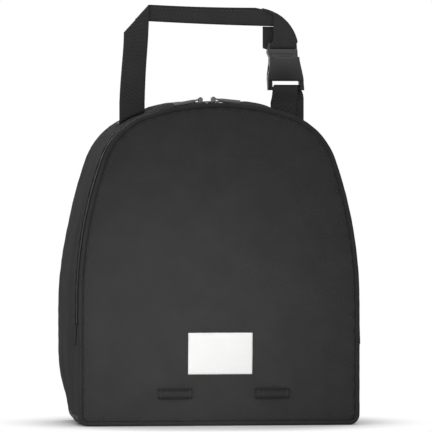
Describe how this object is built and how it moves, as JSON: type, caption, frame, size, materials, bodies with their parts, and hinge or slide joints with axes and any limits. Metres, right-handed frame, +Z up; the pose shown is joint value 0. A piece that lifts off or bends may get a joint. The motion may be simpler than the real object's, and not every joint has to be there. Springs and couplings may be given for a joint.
{
  "type": "insulated cooler bag",
  "caption": "Soft arched insulated bag with a zipped front that folds down, a webbing handle closed by a side release buckle, a plain sewn label and lash tabs.",
  "frame": {"origin": "middle of the footprint, on the floor", "axes": "+Z up, front of the bag towards -Y, +X to the right as seen from the front"},
  "size_m": [0.2226, 0.12, 0.3277],
  "materials": {
    "cloth": "matt woven polyester",
    "base_cloth": "matt coated polyester",
    "piping": "matt cloth over cord",
    "foam": "closed cell foam",
    "board": "matt",
    "lining": "smooth film",
    "zip_tape": "woven tape",
    "zip_coil": "satin",
    "metal": "satin",
    "webbing": "ribbed webbing",
    "buckle": "moulded satin",
    "label": "woven satin"
  },
  "bodies": {
    "bag": {"back_panel": "cloth", "front_panel": "cloth", "side_band": "cloth", "base_panel": "base_cloth", "back_piping": "piping", "front_piping": "piping", "back_foam": "foam", "front_foam": "foam", "band_foam": "foam", "base_foam": "foam", "base_board": "board", "back_lining": "lining", "front_lining": "lining", "band_lining": "lining", "base_lining": "lining", "zip_tape_rear": "zip_tape", "zip_coil_rear": "zip_coil", "zip_tab_left": "cloth", "zip_tab_right": "cloth", "anchor_left": "webbing", "anchor_right": "webbing", "label": "label", "lash_tab_left": "webbing", "lash_tab_right": "webbing"},
    "flap": {"flap_panel": "cloth", "flap_foam": "foam", "flap_lining": "lining", "flap_piping": "piping", "zip_tape_front": "zip_tape", "zip_coil_front": "zip_coil"},
    "slider_left": {"slider_left": "metal"},
    "slider_right": {"slider_right": "metal"},
    "pull_left": {"pull_left": "metal"},
    "pull_right": {"pull_right": "metal"},
    "handle": {"handle_strap": "webbing", "buckle_strap": "webbing", "buckle_socket": "buckle"},
    "plug": {"buckle_plug": "buckle", "strap_end": "webbing"},
    "arm_left": {"arm_left": "buckle"},
    "arm_right": {"arm_right": "buckle"}
  },
  "joints": [
    {"name": "flap_fold", "type": "hinge", "parent": "bag", "child": "flap", "pos_m": [0, -0.06, 0.078], "axis": [1, 0, 0], "range_deg": [0, 95]},
    {"name": "left_slide", "type": "hinge", "parent": "bag", "child": "slider_left", "pos_m": [0, -0.044, 0.07067], "axis": [0, -1, 0], "range_deg": [0, 12]},
    {"name": "right_slide", "type": "hinge", "parent": "bag", "child": "slider_right", "pos_m": [0, -0.044, 0.07067], "axis": [0, 1, 0], "range_deg": [0, 17]},
    {"name": "left_flip", "type": "hinge", "parent": "slider_left", "child": "pull_left", "pos_m": [-0.01305, -0.044, 0.25288], "axis": [0, 1, 0], "range_deg": [0, 99]},
    {"name": "right_flip", "type": "hinge", "parent": "slider_right", "child": "pull_right", "pos_m": [-0.00288, -0.044, 0.25333], "axis": [0, -1, 0], "range_deg": [0, 99]},
    {"name": "handle_swing", "type": "hinge", "parent": "bag", "child": "handle", "pos_m": [0, 0, 0.24618], "axis": [-1, 0, 0], "range_deg": [-75, 75]},
    {"name": "buckle_release", "type": "slide", "parent": "handle", "child": "plug", "axis": [0, 0, 1], "range_m": [0, 0.017]},
    {"name": "left_squeeze", "type": "hinge", "parent": "plug", "child": "arm_left", "pos_m": [0.0509, 0, 0.28788], "axis": [0, -1, 0], "range_deg": [0, 17]},
    {"name": "right_squeeze", "type": "hinge", "parent": "plug", "child": "arm_right", "pos_m": [0.0671, 0, 0.28788], "axis": [0, 1, 0], "range_deg": [0, 17]}
  ],
  "couplings": [
    {"joint": "left_squeeze", "follows": "buckle_release", "rad_per_m": 17.4},
    {"joint": "right_squeeze", "follows": "buckle_release", "rad_per_m": 17.4}
  ]
}
